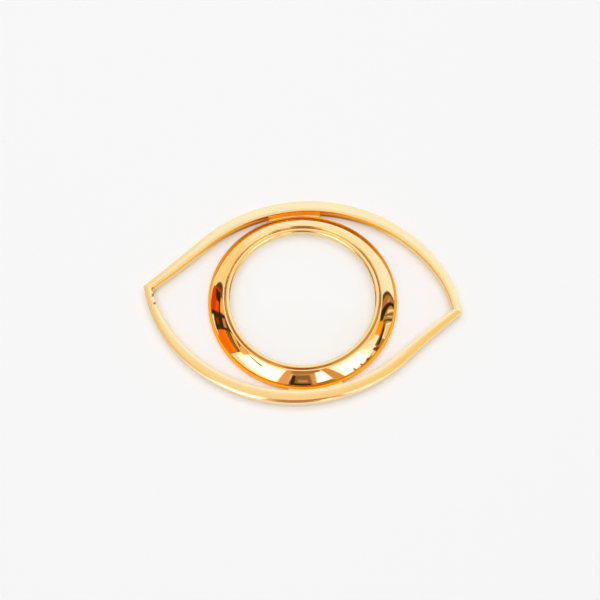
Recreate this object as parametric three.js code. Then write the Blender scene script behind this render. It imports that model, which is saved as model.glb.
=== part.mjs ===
// An eye-shaped desk loupe in polished brass, in millimetres, +Z up, lying on its flat underside.
// The origin is on the lens axis at the table, and +X runs from corner to corner of the eye.
import * as THREE from 'three';

// Eye outline: a lid's middle line runs lean arc, crown arc, full arc, from the left corner to the right
const LEFT_CORNER_REACH = 23.7; // from the bezel's wall to the left corner, on the lids' middle lines
const RIGHT_CORNER_REACH = 23.3;
const CORNER_DROP = 0.8; // both corners lie this far below the lens axis, seen from above
const CROWN_ANGLE = 102.5; // degrees about the lens axis, where the upper lid passes nearest to it
const CROWN_CENTRE_SHIFT = 19.8; // from the lens axis to the crown arc's centre, away from the crown
const CROWN_LEAN_END = 138.3; // degrees about the crown's centre, where the lean end begins
const CROWN_FULL_END = 36.5; // degrees about the crown's centre, where the full end begins

// Lid bars
const LID_HEIGHT = 4.5;
const LID_CROWN_WIDTH = 4.8;
const LID_CORNER_WIDTH = 2.9;
const LID_BEVEL_WIDTH = 1; // slope along the upper edge round the outside of the eye
const LID_BEVEL_DROP = 0.38;
const LID_INNER_EDGE = 0.4; // radius of the upper edge towards the lens
const LID_FOOT_RADIUS = 0.3; // lower edges
const LID_BULGE = 0.12; // how far the top face stands up in the middle

// Lens, biconvex, about two times
const LENS_RADIUS = 30;
const LENS_EDGE_THICKNESS = 1;
const LENS_TOP_CURVE = 205;
const LENS_FOOT_CURVE = 450;
const LENS_TABLE_CLEARANCE = 0.2;

// Bezel and the ring that holds the lens in it
const BEZEL_BAND = 6.6; // from its bore to the flange's outer wall
const BEZEL_HEIGHT = 5.5;
const BEZEL_FLANGE_HEIGHT = 2; // flat foot that the bridges are level with
const BEZEL_DOME_BAND = 5.2; // from its bore to the dome's upright foot
const BEZEL_DOME_FOOT = 3; // height of the edge between that foot and the dome
const BEZEL_CREST_SLOPE = 20; // degrees, how steeply the dome leaves the lip
const BEZEL_LIP_RADIUS = 0.5; // round inner lip
const BEZEL_FOOT_EDGE = 0.3;
const RIM_OVERLAP = 1.8; // of the retaining ring over the lens rim
const SEAT_OVERLAP = 1.2; // of the lens rim over the bezel's seat
const RING_SINK = 0.45; // the retaining ring's top lies this far below the crest
const RING_CROWN = 0.35; // how far the retaining ring's top face stands up in the middle

// Bridges between bezel and lids, and brazing metal in the inside corners
const UPPER_BRIDGE_ANGLE = 100; // degrees about the lens axis, middle of the bridge
const LOWER_BRIDGE_ANGLE = 282.5;
const BRIDGE_SWEEP = 32; // degrees about the lens axis
const BRIDGE_GAP = 1; // least distance from bezel to lid
const BRAZE_LEG = 1.6;
const BRAZE_BELOW_TOP = 0.8;

// Clearances
const BORE_CLEARANCE = 0.2; // round the lens and the retaining ring, in the bezel's bore
const SEAT_CLEARANCE = 0.2; // under and over the lens rim
const SEAM_GAP = 0.25; // brazed seams

// Smoothness of the faceted solids
const ROUND_SEGMENTS = 72;
const LEAN_STEPS = 8;
const CROWN_STEPS = 26;
const FULL_STEPS = 10;
const SLOPE_STEPS = 10;
const LENS_STEPS = 6;
const EDGE_STEPS = 3;

const { degToRad: rad, lerp } = THREE.MathUtils;
const at = (x, y) => new THREE.Vector2(x, y);
const polar = (radius, angle) => at(radius * Math.cos(angle), radius * Math.sin(angle));
const leftOf = (direction) => at(-direction.y, direction.x);
const steps = (count, place) => Array.from({ length: count + 1 }, (_, i) => place(i / count));

// Radii about the lens axis, and the lens stack from the table up
const sag = (curve, radius) => curve - Math.sqrt(curve ** 2 - radius ** 2);
const apertureRadius = LENS_RADIUS - RIM_OVERLAP;
const boreRadius = LENS_RADIUS + BORE_CLEARANCE;
const bezelOuterRadius = boreRadius + BEZEL_BAND;
const seatRadius = LENS_RADIUS - SEAT_OVERLAP;
const seatHeight = LENS_TABLE_CLEARANCE + sag(LENS_FOOT_CURVE, seatRadius) - SEAT_CLEARANCE;
const lensFootEdge = LENS_TABLE_CLEARANCE + sag(LENS_FOOT_CURVE, LENS_RADIUS);
const lensTop = lensFootEdge + LENS_EDGE_THICKNESS + sag(LENS_TOP_CURVE, LENS_RADIUS);
const ringFoot = lensTop - sag(LENS_TOP_CURVE, apertureRadius) + SEAT_CLEARANCE;
const ringTop = BEZEL_HEIGHT - RING_SINK;

function arcPoints(centre, radius, from, to, count) {
  return steps(count, (u) => polar(radius, lerp(from, to, u)).add(centre));
}

// The arc that leaves start along direction and ends at end, or a line where it would be straight.
function tangentArc(start, direction, end) {
  const chord = end.clone().sub(start);
  const halfTurn = Math.atan2(direction.cross(chord), direction.dot(chord));
  if (Math.abs(halfTurn) < 1e-4) return new THREE.LineCurve(start, end);
  const reach = chord.length() / (2 * Math.sin(halfTurn));
  const centre = start.clone().addScaledVector(leftOf(direction), reach);
  const from = start.clone().sub(centre).angle();
  const radius = Math.abs(reach);
  return new THREE.EllipseCurve(centre.x, centre.y, radius, radius, from, from + 2 * halfTurn, halfTurn < 0);
}

// Stations along the upper lid, from its lean corner to its full one: point, tangent, outward and width.
// The lower lid is made the same way, and then turned half a turn about the lens axis.
function lidStations(leanCorner, fullCorner) {
  const nearest = bezelOuterRadius + BRIDGE_GAP + LID_CROWN_WIDTH / 2;
  const centre = polar(-CROWN_CENTRE_SHIFT, rad(CROWN_ANGLE));
  const crownRadius = nearest + CROWN_CENTRE_SHIFT;
  const crownAt = (degrees) => polar(crownRadius, rad(degrees)).add(centre);
  const onward = (degrees) => polar(1, rad(degrees - 90));
  const lean = tangentArc(crownAt(CROWN_LEAN_END), onward(CROWN_LEAN_END).negate(), leanCorner);
  const full = tangentArc(crownAt(CROWN_FULL_END), onward(CROWN_FULL_END), fullCorner);
  const leanStations = steps(LEAN_STEPS, (u) => {
    return { point: lean.getPointAt(1 - u), tangent: lean.getTangentAt(1 - u).negate() };
  });
  const crownStations = steps(CROWN_STEPS, (u) => {
    const degrees = lerp(CROWN_LEAN_END, CROWN_FULL_END, u);
    return { point: crownAt(degrees), tangent: onward(degrees) };
  });
  const fullStations = steps(FULL_STEPS, (u) => {
    return { point: full.getPointAt(u), tangent: full.getTangentAt(u) };
  });
  const stations = [...leanStations, ...crownStations.slice(1, -1), ...fullStations];
  const run = [0];
  for (let i = 1; i < stations.length; i++) {
    run.push(run[i - 1] + stations[i].point.distanceTo(stations[i - 1].point));
  }
  return stations.map(({ point, tangent }, i) => {
    const offMiddle = (2 * run[i]) / run.at(-1) - 1;
    const width = lerp(LID_CROWN_WIDTH, LID_CORNER_WIDTH, offMiddle ** 2);
    return { point, tangent, outward: leftOf(tangent), width };
  });
}

// A corner where one lid's lean end meets the other's full end, in the frame of the lean lid.
function cornerBetween(leanLid, fullLid) {
  const leanAway = leanLid[0].tangent;
  const fullAway = fullLid.at(-1).tangent;
  const inward = leanAway.clone().add(fullAway).normalize();
  const halfAngle = Math.acos(leanAway.dot(fullAway)) / 2;
  return { point: leanLid[0].point, leanAway, fullAway, inward, halfAngle };
}

// A lid's section: x across the bar, y up, with rounded edges and a slightly bulging top.
function lidSection(width) {
  const half = width / 2;
  const shoulder = LID_HEIGHT - LID_BULGE;
  const outer = half - LID_BEVEL_WIDTH;
  const inner = LID_INNER_EDGE - half;
  const foot = half - LID_FOOT_RADIUS;
  const quarter = Math.PI / 2;
  const corner = (x, y, radius, turn) => arcPoints(at(x, y), radius, turn, turn + quarter, EDGE_STEPS);
  const bulge = new THREE.QuadraticBezierCurve(
    at(outer, shoulder), at((outer + inner) / 2, shoulder + 2 * LID_BULGE), at(inner, shoulder),
  );
  return [
    ...corner(foot, LID_FOOT_RADIUS, LID_FOOT_RADIUS, -quarter),
    at(half, shoulder - LID_BEVEL_DROP),
    ...bulge.getPoints(EDGE_STEPS).slice(0, -1),
    ...corner(inner, shoulder - LID_INNER_EDGE, LID_INNER_EDGE, quarter),
    ...corner(-foot, LID_FOOT_RADIUS, LID_FOOT_RADIUS, 2 * quarter),
  ];
}

// Sweep the section through the stations; each end slides along the bar onto its mitred seam.
function lidGeometry(stations, leanCorner, fullCorner) {
  const seams = new Map([
    [stations[0], { point: leanCorner.point, side: leftOf(leanCorner.inward) }],
    [stations.at(-1), { point: fullCorner.point.clone().negate(), side: leftOf(fullCorner.inward) }],
  ]);
  const rings = stations.map((station) => {
    return lidSection(station.width).map(({ x: across, y: up }) => {
      const place = station.point.clone().addScaledVector(station.outward, across);
      if (seams.has(station)) {
        const { point, side } = seams.get(station);
        const past = place.clone().sub(point).dot(side) - SEAM_GAP / 2;
        place.addScaledVector(station.tangent, -past / station.tangent.dot(side));
      }
      return [place.x, place.y, up];
    });
  });
  const count = rings[0].length;
  const lastRing = (rings.length - 1) * count;
  const index = [];
  for (let start = 0; start < lastRing; start += count) {
    for (let j = 0; j < count; j++) {
      const a = start + j;
      const b = start + ((j + 1) % count);
      index.push(a, b, a + count, b, b + count, a + count);
    }
  }
  for (const [a, b, c] of THREE.ShapeUtils.triangulateShape(lidSection(LID_CORNER_WIDTH), [])) {
    index.push(a, c, b, lastRing + a, lastRing + b, lastRing + c);
  }
  const geometry = new THREE.BufferGeometry();
  geometry.setAttribute('position', new THREE.Float32BufferAttribute(rings.flat(2), 3));
  geometry.setIndex(index);
  return geometry;
}

// Strip between the bezel's flange and the lid's inner face, in the lid's frame.
function bridgeGeometry(stations, middle) {
  const from = rad(middle - BRIDGE_SWEEP / 2);
  const to = rad(middle + BRIDGE_SWEEP / 2);
  const lidFace = stations.map(({ point, outward, width }) => {
    return point.clone().addScaledVector(outward, -width / 2 - SEAM_GAP);
  });
  const faceAt = (angle) => {
    const ray = polar(1, angle);
    const next = lidFace.findIndex((point) => point.y > 0 && ray.cross(point) <= 0);
    const [a, b] = [lidFace[next - 1], lidFace[next]];
    return ray.multiplyScalar(a.cross(b) / (ray.cross(b) + a.cross(ray)));
  };
  const wall = steps(SLOPE_STEPS, (u) => polar(bezelOuterRadius + SEAM_GAP, lerp(to, from, u)));
  const face = steps(SLOPE_STEPS, (u) => faceAt(lerp(from, to, u)));
  const shape = new THREE.Shape([...wall, ...face]);
  return new THREE.ExtrudeGeometry(shape, { depth: BEZEL_FLANGE_HEIGHT, bevelEnabled: false });
}

// Brazing metal in the inside corner, hollow towards the eye.
function brazeGeometry(corner) {
  const inset = (LID_CORNER_WIDTH / 2 + SEAM_GAP) / Math.sin(corner.halfAngle);
  const root = corner.point.clone().addScaledVector(corner.inward, inset);
  const leanFoot = root.clone().addScaledVector(corner.leanAway, BRAZE_LEG);
  const fullFoot = root.clone().addScaledVector(corner.fullAway, BRAZE_LEG);
  const hollow = leanFoot.clone().add(fullFoot).multiplyScalar(0.5).lerp(root, 0.5);
  const face = new THREE.QuadraticBezierCurve(fullFoot, hollow, leanFoot);
  const shape = new THREE.Shape([root, ...face.getPoints(EDGE_STEPS)]);
  return new THREE.ExtrudeGeometry(shape, { depth: LID_HEIGHT - BRAZE_BELOW_TOP, bevelEnabled: false });
}

// A solid turned about the lens axis from its outline of radius and height.
function turned(outline) {
  return new THREE.LatheGeometry(outline, ROUND_SEGMENTS).rotateX(Math.PI / 2);
}

// A wide ring: flat flange, dome rising to a round lip, bore and a seat for the lens.
function bezelGeometry() {
  const lipCentre = at(boreRadius + BEZEL_LIP_RADIUS, BEZEL_HEIGHT - BEZEL_LIP_RADIUS);
  const lipStart = rad(90 - BEZEL_CREST_SLOPE);
  const lip = arcPoints(lipCentre, BEZEL_LIP_RADIUS, lipStart, Math.PI, 2 * EDGE_STEPS);
  const domeFoot = at(boreRadius + BEZEL_DOME_BAND, BEZEL_DOME_FOOT);
  const dome = tangentArc(lip[0], polar(1, -rad(BEZEL_CREST_SLOPE)), domeFoot);
  return turned([
    at(seatRadius, 0),
    at(bezelOuterRadius - BEZEL_FOOT_EDGE, 0),
    at(bezelOuterRadius, BEZEL_FOOT_EDGE),
    at(bezelOuterRadius, BEZEL_FLANGE_HEIGHT),
    at(domeFoot.x, BEZEL_FLANGE_HEIGHT),
    ...dome.getPoints(SLOPE_STEPS).reverse(),
    ...lip.slice(1),
    at(boreRadius, seatHeight),
    at(seatRadius, seatHeight),
    at(seatRadius, 0),
  ]);
}

function retainingRingGeometry() {
  const outer = boreRadius - BORE_CLEARANCE;
  const shoulder = ringTop - RING_CROWN;
  const crown = new THREE.QuadraticBezierCurve(
    at(outer, shoulder), at((outer + apertureRadius) / 2, ringTop + RING_CROWN), at(apertureRadius, shoulder),
  );
  return turned([
    at(apertureRadius, ringFoot),
    at(outer, ringFoot),
    ...crown.getPoints(2 * EDGE_STEPS),
    at(apertureRadius, ringFoot),
  ]);
}

function lensGeometry() {
  const footFace = steps(LENS_STEPS, (u) => {
    return at(u * LENS_RADIUS, LENS_TABLE_CLEARANCE + sag(LENS_FOOT_CURVE, u * LENS_RADIUS));
  });
  const topFace = steps(LENS_STEPS, (u) => {
    return at((1 - u) * LENS_RADIUS, lensTop - sag(LENS_TOP_CURVE, (1 - u) * LENS_RADIUS));
  });
  return turned([...footFace, ...topFace]);
}

const gilt = (color, roughness) => new THREE.MeshStandardMaterial({ color, roughness, metalness: 1 });
const glass = new THREE.MeshStandardMaterial({
  color: 0xf3f7f5, roughness: 0.03, metalness: 0, transparent: true, opacity: 0.25,
});

const loupe = new THREE.Group();

function addPiece(name, geometry, material, turn = 0) {
  const mesh = new THREE.Mesh(geometry, material);
  mesh.name = name;
  mesh.rotation.z = turn;
  loupe.add(mesh);
}

const leftPoint = at(-bezelOuterRadius - LEFT_CORNER_REACH, -CORNER_DROP);
const rightPoint = at(bezelOuterRadius + RIGHT_CORNER_REACH, -CORNER_DROP);
const upperLid = lidStations(leftPoint, rightPoint);
const lowerLid = lidStations(rightPoint.clone().negate(), leftPoint.clone().negate());
const leftCorner = cornerBetween(upperLid, lowerLid);
const rightCorner = cornerBetween(lowerLid, upperLid);
const halfTurn = Math.PI;

addPiece('upper_lid', lidGeometry(upperLid, leftCorner, rightCorner), gilt(0xf0c777, 0.16));
addPiece('lower_lid', lidGeometry(lowerLid, rightCorner, leftCorner), gilt(0xf0c777, 0.16), halfTurn);
addPiece('upper_bridge', bridgeGeometry(upperLid, UPPER_BRIDGE_ANGLE), gilt(0xe3a63c, 0.25));
addPiece('lower_bridge', bridgeGeometry(lowerLid, LOWER_BRIDGE_ANGLE - 180), gilt(0xe3a63c, 0.25), halfTurn);
addPiece('left_corner_braze', brazeGeometry(leftCorner), gilt(0xb07a35, 0.4));
addPiece('right_corner_braze', brazeGeometry(rightCorner), gilt(0xb07a35, 0.4), halfTurn);
addPiece('bezel', bezelGeometry(), gilt(0xe6a93f, 0.06));
addPiece('retaining_ring', retainingRingGeometry(), gilt(0xeebf6c, 0.12));
addPiece('lens', lensGeometry(), glass);

export default loupe;
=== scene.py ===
# An eye-shaped desk loupe in polished brass on a pale floor. Lengths are metres in the part's own frame.
import math

import bmesh
import bpy
from mathutils import Matrix, Vector

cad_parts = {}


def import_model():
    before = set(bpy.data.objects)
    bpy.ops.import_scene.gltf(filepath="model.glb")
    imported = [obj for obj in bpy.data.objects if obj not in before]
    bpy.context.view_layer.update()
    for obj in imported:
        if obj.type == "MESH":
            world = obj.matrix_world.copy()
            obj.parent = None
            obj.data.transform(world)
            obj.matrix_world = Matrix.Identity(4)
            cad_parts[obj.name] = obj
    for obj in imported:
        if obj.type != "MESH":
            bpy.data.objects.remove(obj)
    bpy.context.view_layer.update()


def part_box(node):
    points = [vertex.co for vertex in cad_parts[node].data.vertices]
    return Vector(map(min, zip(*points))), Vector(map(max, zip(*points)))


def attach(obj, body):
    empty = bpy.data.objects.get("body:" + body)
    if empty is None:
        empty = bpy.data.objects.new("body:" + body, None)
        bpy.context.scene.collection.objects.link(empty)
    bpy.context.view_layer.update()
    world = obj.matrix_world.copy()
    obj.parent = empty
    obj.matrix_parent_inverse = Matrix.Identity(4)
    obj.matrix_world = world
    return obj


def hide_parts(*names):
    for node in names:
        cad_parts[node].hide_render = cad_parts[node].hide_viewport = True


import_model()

MM = 0.001

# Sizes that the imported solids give
BEZEL_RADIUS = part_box("bezel")[1].x
BEZEL_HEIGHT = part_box("bezel")[1].z
FLANGE_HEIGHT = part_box("upper_bridge")[1].z
LID_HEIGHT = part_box("upper_lid")[1].z
LENS_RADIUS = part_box("lens")[1].x
LENS_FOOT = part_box("lens")[0].z
LENS_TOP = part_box("lens")[1].z
RING_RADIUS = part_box("retaining_ring")[1].x
RING_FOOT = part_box("retaining_ring")[0].z
RING_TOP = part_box("retaining_ring")[1].z
BRAZE_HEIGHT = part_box("left_corner_braze")[1].z

# Eye outline, as the solids have it: lean arc, crown arc and full arc, with angles in degrees
LEFT_CORNER_REACH = 23.7 * MM
RIGHT_CORNER_REACH = 23.3 * MM
CORNER_DROP = 0.8 * MM
LEFT_CORNER = Vector((-BEZEL_RADIUS - LEFT_CORNER_REACH, -CORNER_DROP))
RIGHT_CORNER = Vector((BEZEL_RADIUS + RIGHT_CORNER_REACH, -CORNER_DROP))
CROWN_ANGLE = 102.5
CROWN_CENTRE_SHIFT = 19.8 * MM
LEAN_END = 138.3
FULL_END = 36.5

# Lid bars: the bevel falls less towards the corners
LID_CROWN_WIDTH = 4.8 * MM
LID_CORNER_WIDTH = 2.9 * MM
LID_BEVEL_WIDTH = 1.0 * MM
LID_BEVEL_DROP = 0.38 * MM
LID_BEVEL_END_DROP = 0.2 * MM
LID_BEVEL_EASE = 4
LID_BEVEL_EDGE = 0.15 * MM
LID_INNER_EDGE = 0.15 * MM
LID_FOOT_EDGE = 0.3 * MM
LID_BULGE = 0.12 * MM
LID_SHOULDER = LID_HEIGHT - LID_BULGE
SEAM = 0.02 * MM

# Bezel, retaining ring and lens
BORE_RADIUS = 30.2 * MM
APERTURE_RADIUS = 28.2 * MM
SEAT_RADIUS = 28.8 * MM
SEAT_HEIGHT = 0.923 * MM
RIM_CLEARANCE = 0.18 * MM
DOME_RADIUS = BORE_RADIUS + 5.5 * MM
DOME_FOOT = 2.9 * MM
CREST_SLOPE = 20
LIP_RADIUS = 0.5 * MM
FOOT_EDGE = 0.3 * MM
FLANGE_EDGE = 0.15 * MM
RING_CROWN = 0.35 * MM
RING_EDGE = 0.08 * MM
LENS_TOP_CURVE = 205 * MM
LENS_FOOT_CURVE = 450 * MM

# Bridges and brazing metal
UPPER_BRIDGE_ANGLE = 100
LOWER_BRIDGE_ANGLE = 102.5
BRIDGE_SWEEP = 32
BRIDGE_GAP = 1.0 * MM
BRIDGE_EDGE = 0.12 * MM
BRAZE_LEG = 1.6 * MM
BRAZE_HOLLOW = 0.5

# Smoothness of the turned and swept pieces
ROUND_STEPS = 288
LEAN_STEPS = 40
CROWN_STEPS = 150
FULL_STEPS = 50
SLOPE_STEPS = 40
LENS_STEPS = 32
EDGE_STEPS = 6
BULGE_STEPS = 10
BEVEL_SEGMENTS = 3
SHARP_ANGLE = 35
WELD_DISTANCE = 0.0001 * MM


def polar(radius, degrees):
    angle = math.radians(degrees)
    return Vector((radius * math.cos(angle), radius * math.sin(angle)))


def left_of(direction):
    return Vector((-direction.y, direction.x))


def mix(a, b, u):
    return a + (b - a) * u


def steps(count):
    return [i / count for i in range(count + 1)]


def arc(centre, radius, start, end, count):
    return [centre + polar(radius, mix(start, end, u)) for u in steps(count)]


def bezier(points, count):
    """Points along a Bezier curve of any degree."""
    def at(u):
        level = points
        while len(level) > 1:
            level = [mix(a, b, u) for a, b in zip(level, level[1:])]
        return level[0]
    return [at(u) for u in steps(count)]


def rounded(before, corner, after, radius):
    """A small curve in place of an outline's corner."""
    start = corner + (before - corner).normalized() * radius
    end = corner + (after - corner).normalized() * radius
    return bezier([start, corner, end], EDGE_STEPS)


def tangent_arc(start, direction, end):
    """Place and direction along the arc that leaves start along direction and ends at end."""
    chord = end - start
    half_turn = math.atan2(direction.cross(chord), direction.dot(chord))
    radius = chord.length / (2 * math.sin(half_turn))
    centre = start + left_of(direction) * radius

    def place(u):
        turn = Matrix.Rotation(2 * half_turn * u, 2)
        return centre + turn @ (start - centre), turn @ direction
    return place


# Meshes


def make_piece(name, verts, faces, turn=0.0, bevel=0.0, weld=False):
    """A mesh object turned about the lens axis, smooth but for its sharp edges."""
    mesh = bpy.data.meshes.new(name)
    mesh.from_pydata(verts, [], faces)
    shape = bmesh.new()
    shape.from_mesh(mesh)
    if weld:
        bmesh.ops.remove_doubles(shape, verts=shape.verts, dist=WELD_DISTANCE)
    if bevel:
        bmesh.ops.bevel(
            shape, geom=shape.edges, offset=bevel, segments=BEVEL_SEGMENTS, profile=0.5, affect="EDGES"
        )
    shape.to_mesh(mesh)
    shape.free()
    mesh.transform(Matrix.Rotation(turn, 4, "Z"))
    mesh.shade_smooth()
    mesh.set_sharp_from_angle(angle=math.radians(SHARP_ANGLE))
    piece = bpy.data.objects.new(name, mesh)
    bpy.context.scene.collection.objects.link(piece)
    return piece


def add_vectors(piece, name, vectors):
    """Store a vector for each of the piece's points, for its material to read."""
    attribute = piece.data.attributes.new(name, "FLOAT_VECTOR", "POINT")
    attribute.data.foreach_set("vector", [x for vector in vectors for x in vector])


def turned(name, outline, closed=True):
    """A piece turned about the lens axis from its outline of radius and height."""
    count = len(outline)
    verts = []
    for i in range(ROUND_STEPS):
        direction = polar(1, 360 * i / ROUND_STEPS)
        verts += [(direction.x * p.x, direction.y * p.x, p.y) for p in outline]
    faces = []
    for i in range(ROUND_STEPS):
        here, there = i * count, (i + 1) % ROUND_STEPS * count
        for j in range(count if closed else count - 1):
            k = (j + 1) % count
            faces.append((here + j, there + j, there + k, here + k))
    return make_piece(name, verts, faces, weld=not closed)


def prism(name, outline, height, turn, bevel=0.0):
    """An upright block of the given outline, with its edges taken off where a bevel is given."""
    count = len(outline)
    verts = [(p.x, p.y, 0.0) for p in outline] + [(p.x, p.y, height) for p in outline]
    faces = [tuple(range(count))[::-1], tuple(range(count, 2 * count))]
    faces += [(j, (j + 1) % count, (j + 1) % count + count, j + count) for j in range(count)]
    return make_piece(name, verts, faces, turn, bevel)


# Lids


class Station:
    """A place on a lid's middle line."""
    def __init__(self, point, tangent, run):
        self.point = point
        self.tangent = tangent
        self.outward = left_of(tangent)
        self.run = run
        self.width = 0.0


def lid_line(lean_corner, full_corner):
    """Stations along a lid from its lean corner to its full one, widest in the middle."""
    nearest = BEZEL_RADIUS + BRIDGE_GAP + LID_CROWN_WIDTH / 2
    centre = polar(-CROWN_CENTRE_SHIFT, CROWN_ANGLE)

    def crown(degrees):
        return centre + polar(nearest + CROWN_CENTRE_SHIFT, degrees), polar(1, degrees - 90)

    lean_start, lean_heading = crown(LEAN_END)
    lean = tangent_arc(lean_start, -lean_heading, lean_corner)
    full = tangent_arc(*crown(FULL_END), full_corner)
    places = [lean(1 - u) for u in steps(LEAN_STEPS)]
    places = [(point, -heading) for point, heading in places]
    places += [crown(mix(LEAN_END, FULL_END, u)) for u in steps(CROWN_STEPS)[1:-1]]
    places += [full(u) for u in steps(FULL_STEPS)]
    stations = []
    run = 0.0
    for point, tangent in places:
        if stations:
            run += (point - stations[-1].point).length
        stations.append(Station(point, tangent, run))
    for station in stations:
        off_middle = 2 * station.run / run - 1
        station.width = mix(LID_CROWN_WIDTH, LID_CORNER_WIDTH, off_middle ** 2)
    return stations


class Corner:
    """Where one lid's lean end meets the other's full end, in the frame of the lean lid."""
    def __init__(self, lean_lid, full_lid):
        self.point = lean_lid[0].point
        self.lean_away = lean_lid[0].tangent
        self.full_away = full_lid[-1].tangent
        self.inward = (self.lean_away + self.full_away).normalized()
        self.half_angle = math.acos(self.lean_away.dot(self.full_away)) / 2


def lid_section(width):
    """A lid's section: x across the bar, y up, with a bevel outside and a slightly bulging top."""
    outer = width / 2 - LID_BEVEL_WIDTH
    inner = LID_INNER_EDGE - width / 2
    foot = width / 2 - LID_FOOT_EDGE
    crest = Vector(((outer + inner) / 2, LID_SHOULDER + 2 * LID_BULGE))
    fullness = (width - LID_CORNER_WIDTH) / (LID_CROWN_WIDTH - LID_CORNER_WIDTH)
    drop = mix(LID_BEVEL_END_DROP, LID_BEVEL_DROP, fullness ** LID_BEVEL_EASE)
    bevel_top, bevel_foot = Vector((outer, LID_SHOULDER)), Vector((width / 2, LID_SHOULDER - drop))
    bulge = bezier([bevel_top, crest, Vector((inner, LID_SHOULDER))], BULGE_STEPS)
    return [
        *arc(Vector((foot, LID_FOOT_EDGE)), LID_FOOT_EDGE, -90, 0, EDGE_STEPS),
        *rounded(Vector((width / 2, LID_FOOT_EDGE)), bevel_foot, bevel_top, LID_BEVEL_EDGE),
        *rounded(bevel_foot, bevel_top, bulge[1], LID_BEVEL_EDGE),
        *bulge[1:-1],
        *arc(Vector((inner, LID_SHOULDER - LID_INNER_EDGE)), LID_INNER_EDGE, 90, 180, EDGE_STEPS),
        *arc(Vector((-foot, LID_FOOT_EDGE)), LID_FOOT_EDGE, 180, 270, EDGE_STEPS),
    ]


def lid_mesh(name, stations, lean_corner, full_corner, turn):
    """Sweep the section along the stations, with both ends cut to their mitred seams."""
    seams = {
        0: (lean_corner.point, left_of(lean_corner.inward)),
        len(stations) - 1: (-full_corner.point, left_of(full_corner.inward)),
    }
    verts, grain = [], []
    for i, station in enumerate(stations):
        for spot in lid_section(station.width):
            place = station.point + station.outward * spot.x
            if i in seams:
                point, side = seams[i]
                past = (place - point).dot(side) - SEAM / 2
                place = place - station.tangent * (past / station.tangent.dot(side))
            verts.append((place.x, place.y, spot.y))
            grain.append((station.run, spot.x, spot.y))
    count = len(verts) // len(stations)
    faces = [tuple(range(count))[::-1], tuple(range(len(verts) - count, len(verts)))]
    for start in range(0, len(verts) - count, count):
        for j in range(count):
            a, b = start + j, start + (j + 1) % count
            faces.append((a, b, b + count, a + count))
    piece = make_piece(name, verts, faces, turn)
    add_vectors(piece, "grain", grain)
    return piece


# Bezel, retaining ring and lens


def bezel_mesh():
    """A wide ring: flat flange, dome rising to a round lip, bore and a seat for the lens."""
    lip_centre = Vector((BORE_RADIUS + LIP_RADIUS, BEZEL_HEIGHT - LIP_RADIUS))
    lip = arc(lip_centre, LIP_RADIUS, 90 - CREST_SLOPE, 180, 2 * EDGE_STEPS)
    dome_foot = Vector((DOME_RADIUS, DOME_FOOT))
    slope_at = tangent_arc(lip[0], polar(1, -CREST_SLOPE), dome_foot)
    slope = [slope_at(1 - u)[0] for u in steps(SLOPE_STEPS)]
    aperture_foot = Vector((SEAT_RADIUS, 0))
    wall_foot, wall_top = Vector((BEZEL_RADIUS, 0)), Vector((BEZEL_RADIUS, FLANGE_HEIGHT))
    flange_root = Vector((DOME_RADIUS, FLANGE_HEIGHT))
    return turned("bezel_polished", [
        aperture_foot,
        *rounded(aperture_foot, wall_foot, wall_top, FOOT_EDGE),
        *rounded(wall_foot, wall_top, flange_root, FLANGE_EDGE),
        flange_root,
        *slope,
        *lip[1:],
        Vector((BORE_RADIUS, SEAT_HEIGHT)),
        Vector((SEAT_RADIUS, SEAT_HEIGHT)),
    ])


def retaining_ring_mesh():
    """A turned ring whose top face stands up in the middle."""
    foot_in = Vector((APERTURE_RADIUS, RING_FOOT - RIM_CLEARANCE))
    outside = BORE_RADIUS - SEAM
    foot_out = Vector((outside, RING_FOOT))
    top_out = Vector((outside, RING_TOP - RING_CROWN))
    top_in = Vector((APERTURE_RADIUS, RING_TOP - RING_CROWN))
    crest = Vector(((outside + APERTURE_RADIUS) / 2, RING_TOP + RING_CROWN))
    crown = bezier([top_out, crest, top_in], 2 * BULGE_STEPS)
    return turned("retaining_ring_turned", [
        foot_in,
        foot_out,
        *rounded(foot_out, top_out, crown[1], RING_EDGE),
        *crown[2:-2],
        *rounded(crown[-2], top_in, foot_in, RING_EDGE),
    ])


def lens_mesh():
    """A biconvex lens whose two faces meet in a thin upright rim."""
    def sag(curve, radius):
        return curve - math.sqrt(curve ** 2 - radius ** 2)

    radii = [u * LENS_RADIUS for u in steps(LENS_STEPS)]
    foot = [Vector((r, LENS_FOOT + sag(LENS_FOOT_CURVE, r))) for r in radii]
    top = [Vector((r, LENS_TOP - sag(LENS_TOP_CURVE, r))) for r in reversed(radii)]
    return turned("lens_biconvex", [*foot, *top], closed=False)


# Bridges and brazing metal


def bridge_mesh(name, stations, middle, turn):
    """The strip between the bezel's flange and the lid's inner face, in the lid's frame."""
    face = [s.point - s.outward * (s.width / 2 - SEAM) for s in stations]
    angles = [mix(middle - BRIDGE_SWEEP / 2, middle + BRIDGE_SWEEP / 2, u) for u in steps(SLOPE_STEPS)]

    def face_at(degrees):
        ray = polar(1, degrees)
        for a, b in zip(face, face[1:]):
            if ray.cross(a) >= 0 > ray.cross(b):
                return ray * (a.cross(b) / (ray.cross(b) - ray.cross(a)))

    wall = [polar(BEZEL_RADIUS - SEAM, degrees) for degrees in reversed(angles)]
    outline = wall + [face_at(degrees) for degrees in angles]
    return prism(name, outline, FLANGE_HEIGHT, turn, BRIDGE_EDGE)


def braze_mesh(name, corner, turn):
    """Brazing metal in the inside corner, hollow towards the eye."""
    root = corner.point + corner.inward * (LID_CORNER_WIDTH / 2 / math.sin(corner.half_angle))
    lean_foot = root + corner.lean_away * BRAZE_LEG
    full_foot = root + corner.full_away * BRAZE_LEG
    hollow = mix((lean_foot + full_foot) / 2, root, BRAZE_HOLLOW)
    outline = [root, *bezier([full_foot, hollow, lean_foot], EDGE_STEPS)]
    return prism(name, outline, BRAZE_HEIGHT, turn)


# Materials

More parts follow.
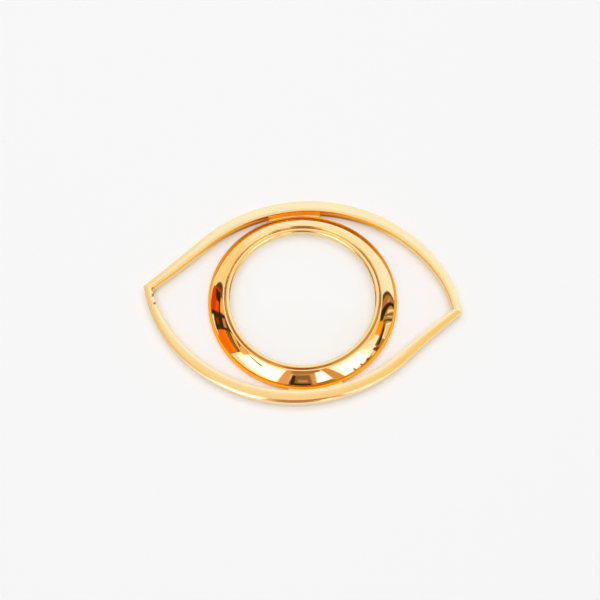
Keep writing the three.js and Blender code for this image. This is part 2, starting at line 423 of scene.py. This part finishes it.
# Colours of the metal and of the glass
POLISHED = (0.95, 0.76, 0.42, 1.0)
MIRROR = (0.96, 0.79, 0.48, 1.0)
RUBBED = (0.94, 0.71, 0.35, 1.0)
PALE = (0.95, 0.82, 0.54, 1.0)
WORN = (0.95, 0.78, 0.46, 1.0)
# Painted reflection and painted shade on the bezel's flange: deep orange for reflected light, darker
# beside and beyond the lens
FLANGE_REFLECTION = (1.0, 0.49, 0.022, 1.0)
FLANGE_SHADE = (0.62, 0.20, 0.008, 1.0)
# Painted reflection: a paler colour on the lids' outer walls, for the bright floor that they mirror
PAINTED_OUTER_WALL = (1.0, 0.83, 0.54, 1.0)
# Painted reflection and painted shade on the lids' inner walls: orange where a wall mirrors the flange or
# a bridge, brown at its foot
WALL_GLOW = (1.0, 0.46, 0.004, 1.0)
WALL_SHADE = (0.46, 0.12, 0.005, 1.0)
# Darker colour in the retaining ring's joint beside the bezel, towards the near side
NEAR_JOINT_DARK = (0.50, 0.20, 0.03, 1.0)
SATIN = (1.0, 0.84, 0.48, 1.0)
SATIN_DEEP = (1.0, 0.76, 0.36, 1.0)
BRAZED = (0.75, 0.42, 0.14, 1.0)
TARNISH = (0.22, 0.10, 0.03, 1.0)
CLEAR = (1.0, 1.0, 1.0, 1.0)

# Roughness, from the smoothest spots to the roughest ones
LID_ROUGHNESS = (0.15, 0.26)
MIRROR_ROUGHNESS = (0.025, 0.07)
RING_ROUGHNESS = (0.10, 0.20)
BRIDGE_ROUGHNESS = (0.25, 0.42)
BRAZE_ROUGHNESS = (0.25, 0.5)
LENS_ROUGHNESS = (0.0, 0.015)
BEVEL_GLOSS = 0.08
WALL_ROUGHNESS = 0.22
FLANGE_ROUGHNESS = 0.27

# Depth of the marks that polishing, turning, brushing and brazing left
POLISH_DEPTH = 0.006 * MM
WAVE_DEPTH = 0.03 * MM
GROOVE_DEPTH = 0.004 * MM
BRUSH_DEPTH = 0.01 * MM
BRAZE_PIT_DEPTH = 0.08 * MM
PIT_SHARE = 8.0
SCUFF_SHARE = 0.02

# Painted reflection, painted shade and a rougher finish on a lid's inner wall start above a line: past
# this radius it climbs from the foot, and it stops at a height
WALL_ZONE_START = 40 * MM
WALL_ZONE_SLOPE = 0.35
WALL_ZONE_TOP = 2.2 * MM
WALL_ZONE_FADE = (0.1 * MM, 1.2 * MM)

# Zones of the lids: each pair gives where a zone has not begun and where it is full
OUTER_HALF = (0.2 * MM, 0.4 * MM)
BELOW_TOP = (LID_SHOULDER, LID_SHOULDER - 0.05 * MM)
BELOW_BEVEL = (LID_SHOULDER - 0.32 * MM, LID_SHOULDER - 0.45 * MM)
FACING_INWARD = (-0.35, -0.6)
OVER_BRIDGE = (11.5 * MM, 10 * MM)
WALL_LIGHT = (1.4 * MM, 2.6 * MM)

# Zones of the bezel and of the retaining ring, given likewise
ON_FLANGE = (DOME_RADIUS - 0.10 * MM, DOME_RADIUS - 0.02 * MM)
AT_DOME_ROOT = (DOME_RADIUS + 0.45 * MM, DOME_RADIUS)
ON_CREST = (BORE_RADIUS + 3.0 * MM, BORE_RADIUS + 1.0 * MM)
BESIDE_LENS = (10 * MM, 17 * MM)
BEYOND_LENS = (-8 * MM, 30 * MM)
RING_SHOULDER = (RING_RADIUS - 0.85 * MM, RING_RADIUS - 0.45 * MM)
RING_FAR_SIDE = (-24 * MM, 10 * MM)
CREST_RUB = 0.75

# Scale of the lids' grain along, across and up the bar, and the noise levels between which patches fade
GRAIN_DENSITY = (45.0, 2600.0, 2600.0)
PATCHES = (0.35, 0.7)

LEVEL = (1.0, 1.0, 0.0)
ORIGIN = (0.0, 0.0, 0.0)

# Pits in the brazed left corner and a speck on the bezel: centre and radius
PITS = (
    (Vector((-58.2, -1.5, 4.2)) * MM, 1.05 * MM),
    (Vector((-58.0, -4.2, 4.2)) * MM, 0.70 * MM),
    (Vector((-56.8, -7.5, 4.2)) * MM, 0.75 * MM),
    (Vector((-55.2, 1.0, 4.2)) * MM, 0.65 * MM),
)
SPECK = ((Vector((-10.1, -33.8, 4.1)) * MM, 0.45 * MM),)
SPOT_CORE = 0.5


class Shader:
    """A node material with a Principled shader and short calls that add nodes."""
    def __init__(self, name, **values):
        self.material = bpy.data.materials.new(name)
        self.material.use_nodes = True
        self.tree = self.material.node_tree
        self.principled = self.tree.nodes["Principled BSDF"]
        self.output = self.tree.nodes["Material Output"]
        for socket, value in values.items():
            self.set(socket.replace("_", " "), value)

    def put(self, value, socket):
        if isinstance(value, bpy.types.NodeSocket):
            self.tree.links.new(value, socket)
        else:
            socket.default_value = value

    def set(self, socket, value):
        self.put(value, self.principled.inputs[socket])

    def node(self, kind, **values):
        """A new node: lower case keys are its settings, the others its inputs."""
        node = self.tree.nodes.new("ShaderNode" + kind)
        for key, value in values.items():
            if key[0].islower():
                setattr(node, key, value)
            else:
                self.put(value, node.inputs[key.replace("_", " ")])
        return node

    def math(self, operation, first, second=0.0):
        node = self.node("Math", operation=operation)
        self.put(first, node.inputs[0])
        self.put(second, node.inputs[1])
        return node.outputs[0]

    def vector(self, operation, first, second=ORIGIN):
        node = self.node("VectorMath", operation=operation)
        self.put(first, node.inputs[0])
        self.put(second, node.inputs[1])
        return node.outputs["Value" if operation in ("DISTANCE", "DOT_PRODUCT") else "Vector"]

    def axis(self, place, name):
        return self.node("SeparateXYZ", Vector=place).outputs[name]

    def ramp(self, value, low, high, to_low=0.0, to_high=1.0, smooth=False):
        ends = {"From_Min": low, "From_Max": high, "To_Min": to_low, "To_Max": to_high}
        node = self.node("MapRange", Value=value, **ends)
        node.interpolation_type = "SMOOTHSTEP" if smooth else "LINEAR"
        return node.outputs[0]

    def blend(self, factor, first, second):
        """Mix two colours, whose sockets are the node's inputs 6 and 7 and its output 2."""
        node = self.node("Mix", data_type="RGBA")
        self.put(factor, node.inputs[0])
        self.put(first, node.inputs[6])
        self.put(second, node.inputs[7])
        return node.outputs[2]

    def noise(self, place, scale, detail=3.0):
        return self.node("TexNoise", Vector=place, Scale=scale, Detail=detail).outputs["Fac"]

    def patches(self, noise):
        """Noise turned into patches with soft edges."""
        return self.ramp(noise, *PATCHES)

    def object_place(self):
        return self.node("TexCoord").outputs["Object"]

    def level(self, place):
        """The place without its height."""
        return self.vector("MULTIPLY", place, LEVEL)

    def radius(self, place):
        """Distance from the lens axis."""
        return self.vector("DISTANCE", self.level(place), ORIGIN)

    def spots(self, place, spots):
        """1 in any of the round spots, with uneven edges, and 0 elsewhere."""
        rough = self.node("TexNoise", Vector=place, Scale=1500.0).outputs["Color"]
        shift = self.vector("MULTIPLY", self.vector("SUBTRACT", rough, (0.5, 0.5, 0.5)), (MM, MM, MM))
        uneven = self.vector("ADD", place, shift)
        total = 0.0
        for centre, radius in spots:
            inside = self.ramp(self.vector("DISTANCE", uneven, centre), radius, SPOT_CORE * radius)
            total = self.math("MAXIMUM", inside, total)
        return total

    def bump(self, height, distance):
        self.set("Normal", self.node("Bump", Strength=1.0, Distance=distance, Height=height).outputs[0])


def lid_outside(shader, across, height):
    """Where a lid's outer wall is, and where the bevel above it is."""
    outside = shader.ramp(across, *OUTER_HALF)
    wall = shader.math("MULTIPLY", outside, shader.ramp(height, *BELOW_BEVEL))
    side = shader.math("MULTIPLY", outside, shader.ramp(height, *BELOW_TOP))
    return wall, shader.math("SUBTRACT", side, wall)


def lid_inside(shader, place, height):
    """Where a lid's inner wall is rougher and painted, and its painted colour: painted reflection, with
    painted shade at the foot except over a bridge.
    """
    normal = shader.node("TexCoord").outputs["Normal"]
    away = shader.vector("NORMALIZE", shader.level(place))
    inner_wall = shader.ramp(shader.vector("DOT_PRODUCT", normal, away), *FACING_INWARD)
    off_bezel = shader.math("SUBTRACT", shader.radius(place), WALL_ZONE_START)
    climb = shader.math("MULTIPLY", off_bezel, WALL_ZONE_SLOPE)
    above = shader.math("SUBTRACT", height, shader.math("MINIMUM", climb, WALL_ZONE_TOP))
    satin_and_painted_wall = shader.math("MULTIPLY", inner_wall, shader.ramp(above, *WALL_ZONE_FADE))
    across = polar(1, UPPER_BRIDGE_ANGLE - 90)
    off_bridge = shader.math("ABSOLUTE", shader.vector("DOT_PRODUCT", place, (across.x, across.y, 0.0)))
    over_bridge = shader.ramp(off_bridge, *OVER_BRIDGE)
    # Painted shade low on the wall beside the bridges, painted reflection above it and over a bridge
    lit = shader.math("MAXIMUM", over_bridge, shader.ramp(height, *WALL_LIGHT))
    return satin_and_painted_wall, shader.blend(lit, WALL_SHADE, WALL_GLOW)


def lid_brass():
    """Polished lengthwise, with pits in one corner, a paler outer wall as painted reflection, and a
    rougher inner wall with painted reflection and painted shade.
    """
    shader = Shader("lid_brass", Metallic=1.0)
    place = shader.object_place()
    grain = shader.node("Attribute", attribute_name="grain").outputs["Vector"]
    height = shader.axis(grain, "Z")
    streaks = shader.noise(shader.vector("MULTIPLY", grain, GRAIN_DENSITY), scale=1.0, detail=4.0)
    clouds = shader.noise(place, scale=110.0)
    pits = shader.spots(place, PITS)
    wall, bevel = lid_outside(shader, shader.axis(grain, "Y"), height)
    satin_and_painted_wall, painted_wall_colour = lid_inside(shader, place, height)
    colour = shader.blend(shader.patches(streaks), PALE, WORN)
    # Painted reflection: the outer wall paler than the rest of the lid
    colour = shader.blend(wall, colour, PAINTED_OUTER_WALL)
    colour = shader.blend(satin_and_painted_wall, colour, painted_wall_colour)
    shader.set("Base Color", shader.blend(pits, colour, TARNISH))
    polish = shader.ramp(shader.math("ADD", streaks, clouds), 0.8, 1.3, *LID_ROUGHNESS)
    polish = shader.math("SUBTRACT", polish, shader.math("MULTIPLY", bevel, BEVEL_GLOSS))
    bare_roughness = shader.math("MULTIPLY", satin_and_painted_wall, WALL_ROUGHNESS)
    shader.set("Roughness", shader.math("MAXIMUM", polish, bare_roughness))
    shader.bump(shader.math("SUBTRACT", streaks, shader.math("MULTIPLY", pits, PIT_SHARE)), POLISH_DEPTH)
    return shader.material


def flange_colour(shader, place, radius, smudges):
    """Painted reflection in deep orange, darker in patches at the dome's root, and painted shade beside
    and beyond the lens.
    """
    root = shader.ramp(radius, *AT_DOME_ROOT)
    # Darker patches at the dome's root
    root_patches = shader.math("MULTIPLY", root, shader.ramp(smudges, 0.3, 0.6, to_low=0.2, to_high=0.7))
    off_middle = shader.math("ABSOLUTE", shader.axis(place, "X"))
    # Painted shade: the flange darker beside and beyond the lens
    beside = shader.ramp(off_middle, *BESIDE_LENS, to_low=0.15)
    beyond = shader.ramp(shader.axis(place, "Y"), *BEYOND_LENS)
    flange_shade_mask = shader.math("MULTIPLY", beside, beyond)
    return shader.blend(shader.math("MAXIMUM", flange_shade_mask, root_patches), FLANGE_REFLECTION, FLANGE_SHADE)


def bezel_brass():
    """Mirror polish with smudges, waviness and a rubbed crest, over a satin flange whose deep colour is
    painted reflection and painted shade.
    """
    shader = Shader("bezel_brass", Metallic=1.0)
    place = shader.object_place()
    radius = shader.radius(place)
    smudges = shader.noise(place, scale=140.0, detail=4.0)
    scuffs = shader.noise(place, scale=2200.0, detail=5.0)
    waves = shader.noise(place, scale=160.0, detail=1.0)
    flange = shader.ramp(radius, *ON_FLANGE)
    crest = shader.ramp(radius, *ON_CREST, to_high=CREST_RUB)
    rubbed = shader.math("MAXIMUM", shader.ramp(smudges, 0.5, 0.85), crest)
    colour = shader.blend(rubbed, MIRROR, RUBBED)
    colour = shader.blend(flange, colour, flange_colour(shader, place, radius, smudges))
    shader.set("Base Color", shader.blend(shader.spots(place, SPECK), colour, TARNISH))
    polish = shader.ramp(smudges, 0.4, 0.75, *MIRROR_ROUGHNESS)
    satin = shader.math("MULTIPLY", flange, FLANGE_ROUGHNESS)
    shader.set("Roughness", shader.math("MAXIMUM", polish, satin))
    shader.bump(shader.math("ADD", waves, shader.math("MULTIPLY", scuffs, SCUFF_SHARE)), WAVE_DEPTH)
    return shader.material


def ring_brass():
    """Fine grooves left by the lathe, and a darker joint beside the bezel, darkest towards the near side.
    """
    shader = Shader("ring_brass", Metallic=1.0)
    place = shader.object_place()
    radius = shader.radius(place)
    section = shader.node("CombineXYZ", X=radius, Z=shader.axis(place, "Z")).outputs[0]
    grooves = shader.noise(section, scale=7000.0, detail=4.0)
    smudges = shader.noise(place, scale=200.0)
    colour = shader.blend(shader.patches(grooves), POLISHED, RUBBED)
    shoulder = shader.ramp(radius, *RING_SHOULDER)
    # Darker towards the near side
    beyond = shader.ramp(shader.axis(place, "Y"), *RING_FAR_SIDE)
    joint = shader.blend(beyond, NEAR_JOINT_DARK, RUBBED)
    shader.set("Base Color", shader.blend(shoulder, colour, joint))
    shader.set("Roughness", shader.ramp(smudges, 0.35, 0.75, *RING_ROUGHNESS))
    shader.bump(grooves, GROOVE_DEPTH)
    return shader.material


def bridge_brass():
    """Satin brass that the polishing wheel does not reach."""
    shader = Shader("bridge_brass", Metallic=1.0)
    place = shader.object_place()
    brushing = shader.noise(place, scale=1800.0, detail=5.0)
    clouds = shader.noise(place, scale=300.0)
    shader.set("Base Color", shader.blend(shader.patches(clouds), SATIN, SATIN_DEEP))
    shader.set("Roughness", shader.ramp(brushing, 0.3, 0.7, *BRIDGE_ROUGHNESS))
    shader.bump(brushing, BRUSH_DEPTH)
    return shader.material


def braze_metal():
    """Darker brazing metal with small pits."""
    shader = Shader("braze", Metallic=1.0)
    place = shader.object_place()
    cells = shader.node("TexVoronoi", Vector=place, Scale=1400.0).outputs["Distance"]
    clouds = shader.noise(place, scale=900.0)
    pits = shader.ramp(cells, 0.30, 0.12)
    colour = shader.blend(shader.patches(clouds), RUBBED, BRAZED)
    shader.set("Base Color", shader.blend(pits, colour, TARNISH))
    shader.set("Roughness", shader.ramp(clouds, 0.3, 0.7, *BRAZE_ROUGHNESS))
    shader.bump(cells, BRAZE_PIT_DEPTH)
    return shader.material


def lens_glass():
    """Clear glass with a low sheen and a trace of dust."""
    shader = Shader("lens_glass", Base_Color=CLEAR, IOR=1.52, Transmission_Weight=1.0)
    shader.set("Specular IOR Level", 0.12)
    dust = shader.noise(shader.object_place(), scale=90.0, detail=6.0)
    shader.set("Roughness", shader.ramp(dust, 0.55, 0.8, *LENS_ROUGHNESS))
    return shader.material


# Pieces


def dress(piece, node, body, material):
    """Give a piece its material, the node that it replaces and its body."""
    piece.data.materials.append(material)
    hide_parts(node)
    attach(piece, body)


def build_frame():
    """Lids, bridges, brazing metal and bezel, which move as one body.

    The bezel casts no shadow, which stands for the light that polished brass throws on the floor.
    """
    half_turn = math.pi
    upper = lid_line(LEFT_CORNER, RIGHT_CORNER)
    lower = lid_line(-RIGHT_CORNER, -LEFT_CORNER)
    left, right = Corner(upper, lower), Corner(lower, upper)
    lid, bridge, braze = lid_brass(), bridge_brass(), braze_metal()
    upper_lid = lid_mesh("upper_lid_bar", upper, left, right, 0)
    lower_lid = lid_mesh("lower_lid_bar", lower, right, left, half_turn)
    upper_bridge = bridge_mesh("upper_bridge_strip", upper, UPPER_BRIDGE_ANGLE, 0)
    lower_bridge = bridge_mesh("lower_bridge_strip", lower, LOWER_BRIDGE_ANGLE, half_turn)
    dress(upper_lid, "upper_lid", "frame", lid)
    dress(lower_lid, "lower_lid", "frame", lid)
    dress(upper_bridge, "upper_bridge", "frame", bridge)
    dress(lower_bridge, "lower_bridge", "frame", bridge)
    dress(braze_mesh("left_braze", left, 0), "left_corner_braze", "frame", braze)
    dress(braze_mesh("right_braze", right, half_turn), "right_corner_braze", "frame", braze)
    bezel = bezel_mesh()
    dress(bezel, "bezel", "frame", bezel_brass())
    bezel.visible_shadow = False


def build_lens():
    """Lens and retaining ring, which like the bezel cast no shadow."""
    lens = lens_mesh()
    dress(lens, "lens", "lens", lens_glass())
    lens.visible_shadow = False
    lens.visible_diffuse = False
    ring = retaining_ring_mesh()
    dress(ring, "retaining_ring", "retaining_ring", ring_brass())
    ring.visible_shadow = False


# Stage

CARD_DISTANCE = 1.5
CARD_SPACING = 0.03
CARD_STEPS = 12
FLOOR_REACH = 4.0
FLOOR_WHITE = (0.92, 0.92, 0.92, 1.0)

# Colours of the room that the brass mirrors
WHITE = (1.0, 0.99, 0.96)
CREAM = (1.05, 0.90, 0.62)
STRAW = (1.0, 0.82, 0.50)
WHEAT = (0.98, 0.80, 0.45)
PEACH = (0.99, 0.76, 0.44)
GOLD = (0.98, 0.72, 0.28)
HONEY = (1.0, 0.70, 0.26)
APRICOT = (0.96, 0.66, 0.34)
AMBER = (0.98, 0.55, 0.14)
ORANGE = (1.05, 0.40, 0.01)
COPPER = (0.87, 0.40, 0.16)
TAN = (0.72, 0.38, 0.15)
CARAMEL = (0.72, 0.36, 0.14)
TEAK = (0.72, 0.34, 0.10)
BRONZE = (0.50, 0.33, 0.14)
SIENNA = (0.60, 0.29, 0.12)
OAK = (0.42, 0.26, 0.09)
EMBER = (0.98, 0.25, 0.010)
WALNUT = (0.46, 0.25, 0.08)
RUSSET = (0.44, 0.22, 0.085)
CHESTNUT = (0.48, 0.21, 0.08)
SCARLET = (0.99, 0.18, 0.004)
MAHOGANY = (0.42, 0.18, 0.05)
BROWN = (0.30, 0.14, 0.05)
CRIMSON = (0.95, 0.12, 0.004)
COCOA = (0.22, 0.11, 0.05)
UMBER = (0.15, 0.06, 0.025)
RED = (0.70, 0.055, 0.003)
MAROON = (0.30, 0.035, 0.005)
DARK = (0.045, 0.024, 0.012)


def floor():
    half = FLOOR_REACH
    corners = [(-half, -half, 0), (half, -half, 0), (half, half, 0), (-half, half, 0)]
    plane = make_piece("floor", corners, [(0, 1, 2, 3)])
    shader = Shader("floor_white", Base_Color=FLOOR_WHITE, Roughness=1.0)
    shader.set("Specular IOR Level", 0.0)
    plane.data.materials.append(shader.material)


def card_material(name, colour, strength, soft):
    """A glow that fades out towards the card's edges over so many degrees."""
    shader = Shader(name)
    inset = shader.node("Attribute", attribute_name="inset").outputs["Vector"]
    sides = shader.ramp(shader.axis(inset, "X"), 0.0, soft, smooth=True)
    ends = shader.ramp(shader.axis(inset, "Y"), 0.0, soft, smooth=True)
    glow = shader.node("Emission", Color=(*colour, 1.0), Strength=strength)
    clear = shader.node("BsdfTransparent")
    both = shader.node("MixShader")
    shader.put(shader.math("MULTIPLY", sides, ends), both.inputs[0])
    shader.put(clear.outputs[0], both.inputs[1])
    shader.put(glow.outputs[0], both.inputs[2])
    shader.put(both.outputs[0], shader.output.inputs["Surface"])
    return shader.material


def hang(name, places, insets, colour, strength=1.0, soft=2.0, layer=0):
    """A sheet round the object that only its reflections show, from a grid of azimuths and elevations.

    Azimuth 0 lies beyond the object and 90 on its right. A higher layer hangs in front of a lower one.
    """
    reach = CARD_DISTANCE - layer * CARD_SPACING
    verts = []
    for place in places:
        azimuth, elevation = (math.radians(degrees) for degrees in place)
        level = reach * math.cos(elevation)
        verts.append((level * math.sin(azimuth), level * math.cos(azimuth), reach * math.sin(elevation)))
    row = CARD_STEPS + 1
    faces = [(k, k + 1, k + row + 1, k + row) for k in range(row * CARD_STEPS) if (k + 1) % row]
    sheet = make_piece(name, verts, faces)
    add_vectors(sheet, "inset", [(*inset, 0.0) for inset in insets])
    sheet.data.materials.append(card_material(name, colour, strength, soft))
    sheet.visible_camera = False
    sheet.visible_diffuse = False
    sheet.visible_transmission = False
    sheet.visible_shadow = False
    return sheet


def card(name, corners, colour, **look):
    """A card with straight sides: its corners run from the lower left round to the upper left."""
    low_left, low_right, high_right, high_left = (Vector(corner) for corner in corners)
    places, insets = [], []
    for v in steps(CARD_STEPS):
        start, end = mix(low_left, high_left, v), mix(low_right, high_right, v)
        for u in steps(CARD_STEPS):
            height = mix(high_left - low_left, high_right - low_right, u).length
            places.append(mix(start, end, u))
            insets.append((min(u, 1 - u) * (end - start).length, min(v, 1 - v) * height))
    hang(name, places, insets, colour, **look)


def panel(azimuths, elevations):
    """Corners of an upright card."""
    (left, right), (low, high) = azimuths, elevations
    return (left, low), (right, low), (right, high), (left, high)


def arch(name, middle, radii, colour, soft, layer):
    """Half an ellipse whose round side points along the azimuth that its first radius gives."""
    places, insets = [], []
    for v in steps(CARD_STEPS):
        for u in steps(CARD_STEPS):
            spot = polar(v, mix(-90, 90, u))
            places.append((middle[0] + radii[0] * spot.x, middle[1] + radii[1] * spot.y))
            insets.append((soft, (1 - v) * min(abs(radii[0]), radii[1])))
    hang(name, places, insets, colour, soft=soft, layer=layer)


def dome(name, low, soft, colour, strength=1.0, layer=0):
    """A sheet over the whole object from an elevation upwards."""
    places = [(mix(-180, 180, u), mix(low, 90, v)) for v in steps(CARD_STEPS) for u in steps(CARD_STEPS)]
    insets = [(soft, elevation - low) for _, elevation in places]
    return hang(name, places, insets, colour, strength, soft, layer)


def studio():
    """A white sweep all round and a warm ceiling above it."""
    sweep = dome("sweep", low=-14, soft=1, colour=WHITE, strength=1.03, layer=-6)
    sweep.visible_camera = True
    sweep.visible_transmission = True
    dome("ceiling", low=64, soft=8, colour=PEACH, layer=-3)


def left_room():
    """The part of the room on the left."""
    card("left_far_wall", ((-80, -8), (-22, -10), (-28, 72), (-80, 76)), STRAW, soft=14, layer=-2)
    card("left_wall", ((-116, 12), (-65, 13), (-65, 44), (-114, 60)), DARK, soft=1.2, layer=2)
    card("left_beam", ((-115, 40), (-91, 39), (-91, 47), (-113, 47)), BROWN, soft=2, layer=3)
    card("left_lintel", ((-91, 44), (-78, 43), (-79, 48), (-91, 50)), UMBER, soft=1, layer=3)
    card("left_shelf_low", ((-119, 45.5), (-91, 47), (-92, 52), (-118, 60)), AMBER, soft=1.5, layer=4)
    card("left_shelf_high", ((-106, 55), (-93, 52.5), (-90, 60), (-106, 64)), GOLD, soft=1.5, layer=4)
    card("left_slat", ((-109, 49.5), (-93, 53), (-91, 56), (-104, 55)), BROWN, soft=1, layer=5)
    card("left_niche", ((-90, 38), (-81, 38), (-80, 45), (-90, 45)), SIENNA, soft=1.5, layer=4)
    card("left_arch", ((-78.5, 35.5), (-65.5, 35.5), (-65, 47), (-78, 47)), AMBER, soft=1.5, layer=4)
    arch("left_alcove", (-66, 29), (8.5, 15), UMBER, soft=1.2, layer=3)
    arch("left_alcove_inside", (-66, 34), (5.5, 7.5), COCOA, soft=1.5, layer=4)
    card("left_scarlet", ((-115.5, 17), (-93, 17), (-91.5, 40), (-114, 42)), SCARLET, soft=1, layer=5)
    card("left_glow", ((-115, 34), (-92.5, 34), (-91.5, 41), (-114, 43)), EMBER, soft=3, layer=6)
    card("left_deep_red", ((-89.5, 24), (-83.5, 24), (-82.5, 31.5), (-89, 31.5)), MAROON, soft=1, layer=5)
    card("left_red", ((-79, 12), (-62, 11), (-62.5, 33), (-79.5, 34)), RED, soft=1, layer=5)
    card("left_flare", ((-79.5, 24), (-70, 24), (-70, 33.5), (-79, 33.5)), CRIMSON, soft=2, layer=6)
    card("left_gap", ((-71, 26), (-63.5, 19), (-63, 35), (-72, 35)), DARK, soft=1.5, layer=6)
    card("left_pale", ((-101, 10), (-81, 8), (-81, 20), (-98, 23)), WHITE, soft=1.5, layer=6)
    card("left_cream", ((-168, 8), (-113, 12), (-113, 50), (-168, 50)), CREAM, soft=3, layer=0)
    window = ((-170, 31), (-112, 33), (-112, 66), (-166, 72))
    card("left_window", window, WHITE, strength=2.3, soft=12, layer=1)
    card("left_sash", ((-141, 51), (-118, 53.5), (-118, 57.5), (-137, 57)), OAK, soft=2, layer=4)
    card("left_canopy", ((-124, 62), (-66, 43.5), (-56, 62), (-124, 76)), APRICOT, soft=2.5, layer=6)
    card("left_curtain", ((-174, 10), (-160, 10), (-161, 72), (-172, 72)), COPPER, soft=2, layer=2)


def right_room():
    """The part of the room on the right."""
    arch("right_arch", (78, 33), (-25, 27), UMBER, soft=1.5, layer=0)
    arch("right_arch_glow", (78, 31), (-21.5, 25), CHESTNUT, soft=1.5, layer=0.6)
    arch("right_arch_line", (78, 30), (-15.5, 30), DARK, soft=1, layer=1.2)
    arch("right_arch_inside", (78, 24), (-12.5, 16), BRONZE, soft=1.2, layer=1.6)
    card("right_ceiling", ((30, 59), (112, 57), (112, 86), (30, 86)), HONEY, soft=5, layer=1)
    card("right_glow", ((60, 22), (63.5, 24), (63.5, 30), (60.5, 29)), CARAMEL, soft=1, layer=3)
    card("right_shelf", ((68.5, 14), (71.5, 14), (71, 31), (67.5, 29)), WHEAT, soft=1.2, layer=5)
    card("right_mirror", ((73.5, 15), (75, 15), (74, 29), (72.5, 29)), GOLD, soft=0.8, layer=5)
    card("right_strip", ((71, 16), (73.5, 16), (72, 38), (70, 38)), BROWN, soft=1, layer=5)
    card("right_bar", ((75.5, 12), (78.5, 12), (76, 37), (74, 37)), UMBER, soft=0.8, layer=5)
    card("right_gold", ((60, 43), (88, 43), (96, 62), (60, 62)), GOLD, soft=3, layer=2)
    card("right_orange", ((75, 35), (90, 33), (86, 46.5), (71, 46.5)), ORANGE, soft=1.5, layer=4)
    card("right_bench", ((76, 29), (101, 27), (98, 37), (75, 37)), BROWN, soft=2, layer=5)
    card("right_shade", ((80, 31), (98, 27.5), (97, 33.5), (80, 35)), DARK, soft=1.5, layer=6)
    card("right_lamp", ((78, 14), (90.5, 14), (90.5, 27), (79, 29)), GOLD, soft=1.2, layer=6)
    card("right_table", ((90, 12), (135, 12), (135, 34), (90, 32)), WALNUT, soft=2, layer=3)
    card("right_cup", ((103, 18), (108, 20), (108, 30), (101, 33)), GOLD, soft=1.2, layer=5)
    card("right_jar", panel((109.5, 114.5), (18, 34)), UMBER, soft=1.5, layer=5)
    card("right_clutter", ((98, 24), (104, 24), (103, 36), (99, 36)), UMBER, soft=1.5, layer=6)
    card("right_tin", panel((117, 120), (28, 37)), BROWN, soft=1.2, layer=5)
    card("right_pot", panel((124, 127), (30, 38)), BROWN, soft=1.2, layer=5)
    window = ((101, 29), (141, 25), (143, 69), (96, 64))
    card("right_window", window, WHITE, strength=2.4, soft=14, layer=4)
    card("right_post", ((131, 10), (143, 10), (150, 72), (141, 72)), TEAK, soft=1.5, layer=5)


def back_room():
    """The side that the camera stands on."""
    card("back_wall", panel((145, 188), (8, 74)), TAN, soft=3, layer=2)
    card("back_top", ((149, 61), (192, 58), (192, 84), (149, 84)), RUSSET, soft=3.5, layer=4)
    card("back_window", ((145, 40), (163, 38), (160, 68), (149, 68)), WHITE, strength=2.2, soft=3, layer=3)
    card("back_ledge", ((133, 8), (164, 8), (164, 41), (137, 39)), MAHOGANY, soft=2.5, layer=3)
    card("back_door", ((163, 8), (189, 8), (189, 60), (165, 61)), BROWN, soft=3, layer=4)
    card("back_panel", ((168, 42), (181, 42), (181, 50), (170, 50)), SIENNA, soft=2.5, layer=5)
    card("back_plinth", ((164, 8), (188, 8), (188, 42), (166, 41)), DARK, soft=2.5, layer=6)
    card("back_jamb", ((182, 8), (189, 8), (188, 58), (182, 58)), DARK, soft=2, layer=6)


def lamp():
    """A large soft light overhead that reflections leave out."""
    data = bpy.data.lights.new("softbox", "AREA")
    data.shape = "SQUARE"
    data.size = 1.8
    data.energy = 15.5
    light = bpy.data.objects.new("softbox", data)
    bpy.context.scene.collection.objects.link(light)
    light.location = (-0.06, 0.12, 1.4)
    light.visible_glossy = False
    light.visible_transmission = False
    light.visible_camera = False


def world():
    """An even white glow all round."""
    sky = bpy.data.worlds.new("studio")
    sky.use_nodes = True
    background = sky.node_tree.nodes["Background"]
    background.inputs["Color"].default_value = (1.0, 1.0, 1.0, 1.0)
    background.inputs["Strength"].default_value = 0.5
    bpy.context.scene.world = sky


def camera():
    """The photograph's view: 66 degrees above the table, a little to the right of the lower lid."""
    azimuth, elevation = math.radians(4.77), math.radians(66.4)
    distance = 372.4 * MM
    back = Vector((
        math.sin(azimuth) * math.cos(elevation),
        -math.cos(azimuth) * math.cos(elevation),
        math.sin(elevation),
    ))
    data = bpy.data.cameras.new("camera")
    data.lens = 57.0
    data.sensor_width = 36.0
    data.shift_x = -0.0042
    data.shift_y = 0.0023
    data.clip_start = 0.01
    view = bpy.data.objects.new("camera", data)
    bpy.context.scene.collection.objects.link(view)
    view.location = back * distance
    view.rotation_mode = "QUATERNION"
    view.rotation_quaternion = (-back).to_track_quat("-Z", "Y")
    bpy.context.scene.camera = view


build_frame()
build_lens()
floor()
studio()
left_room()
right_room()
back_room()
lamp()
world()
camera()
bpy.context.scene.view_settings.view_transform = "Standard"
